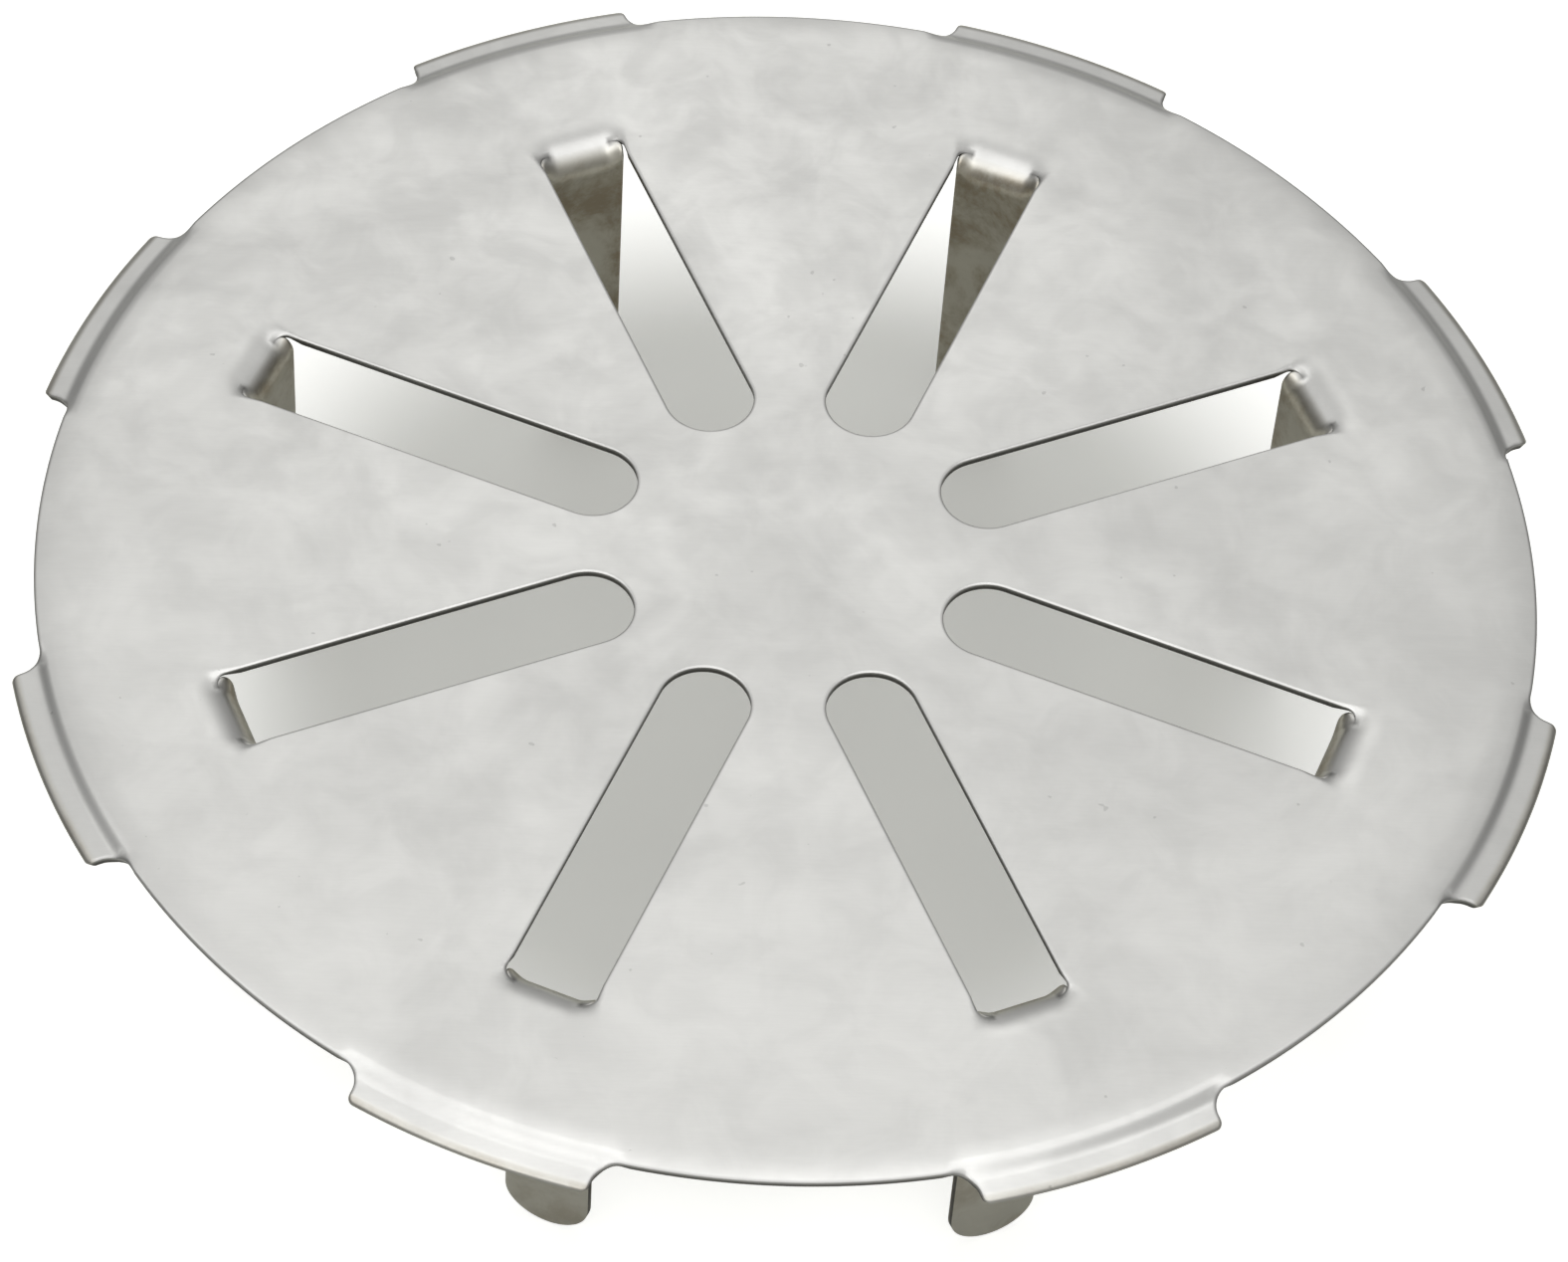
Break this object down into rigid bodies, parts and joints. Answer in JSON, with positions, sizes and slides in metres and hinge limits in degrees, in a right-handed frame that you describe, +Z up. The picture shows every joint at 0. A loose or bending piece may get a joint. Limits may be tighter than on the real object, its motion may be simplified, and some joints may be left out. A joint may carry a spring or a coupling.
{
  "type": "floor drain grate",
  "caption": "Round snap-in floor drain grate stamped from stainless sheet, with radial slots, stepped rim tabs and spring legs folded down out of the slots.",
  "frame": {"origin": "on the axis, in the plane of the leg tips, which is the bottom centre of the part's box", "axes": "+Z up along the axis, out of the drain; -Y is the front, midway between two spokes; the spokes stand at 22.5 degrees from X and every 45 degrees after it"},
  "size_m": [0.1048, 0.1048, 0.0288],
  "materials": {
    "stainless": "satin mill finish, lightly scuffed"
  },
  "bodies": {
    "grate": {"slotted_plate": "stainless", "rim_tab_1": "stainless", "rim_tab_2": "stainless", "rim_tab_3": "stainless", "rim_tab_4": "stainless", "rim_tab_5": "stainless", "rim_tab_6": "stainless", "rim_tab_7": "stainless", "rim_tab_8": "stainless", "leg_bend_1": "stainless", "leg_bend_2": "stainless", "leg_bend_3": "stainless", "leg_bend_4": "stainless", "leg_bend_5": "stainless", "leg_bend_6": "stainless", "leg_bend_7": "stainless", "leg_bend_8": "stainless"},
    "leg_1": {"spring_leg_1": "stainless"},
    "leg_2": {"spring_leg_2": "stainless"},
    "leg_3": {"spring_leg_3": "stainless"},
    "leg_4": {"spring_leg_4": "stainless"},
    "leg_5": {"spring_leg_5": "stainless"},
    "leg_6": {"spring_leg_6": "stainless"},
    "leg_7": {"spring_leg_7": "stainless"},
    "leg_8": {"spring_leg_8": "stainless"}
  },
  "joints": [
    {"name": "leg_flex_1", "type": "hinge", "parent": "grate", "child": "leg_1", "pos_m": [0.03663, 0.01517, 0.02717], "axis": [-0.3827, 0.9239, 0], "range_deg": [-2, 5], "stiffness_Nm_per_rad": 2.35},
    {"name": "leg_flex_2", "type": "hinge", "parent": "grate", "child": "leg_2", "pos_m": [0.01517, 0.03663, 0.02717], "axis": [-0.9239, 0.3827, 0], "range_deg": [-2, 5], "stiffness_Nm_per_rad": 2.35},
    {"name": "leg_flex_3", "type": "hinge", "parent": "grate", "child": "leg_3", "pos_m": [-0.01517, 0.03663, 0.02717], "axis": [-0.9239, -0.3827, 0], "range_deg": [-2, 5], "stiffness_Nm_per_rad": 2.35},
    {"name": "leg_flex_4", "type": "hinge", "parent": "grate", "child": "leg_4", "pos_m": [-0.03663, 0.01517, 0.02717], "axis": [-0.3827, -0.9239, 0], "range_deg": [-2, 5], "stiffness_Nm_per_rad": 2.35},
    {"name": "leg_flex_5", "type": "hinge", "parent": "grate", "child": "leg_5", "pos_m": [-0.03663, -0.01517, 0.02717], "axis": [0.3827, -0.9239, 0], "range_deg": [-2, 5], "stiffness_Nm_per_rad": 2.35},
    {"name": "leg_flex_6", "type": "hinge", "parent": "grate", "child": "leg_6", "pos_m": [-0.01517, -0.03663, 0.02717], "axis": [0.9239, -0.3827, 0], "range_deg": [-2, 5], "stiffness_Nm_per_rad": 2.35},
    {"name": "leg_flex_7", "type": "hinge", "parent": "grate", "child": "leg_7", "pos_m": [0.01517, -0.03663, 0.02717], "axis": [0.9239, 0.3827, 0], "range_deg": [-2, 5], "stiffness_Nm_per_rad": 2.35},
    {"name": "leg_flex_8", "type": "hinge", "parent": "grate", "child": "leg_8", "pos_m": [0.03663, -0.01517, 0.02717], "axis": [0.3827, 0.9239, 0], "range_deg": [-2, 5], "stiffness_Nm_per_rad": 2.35}
  ]
}
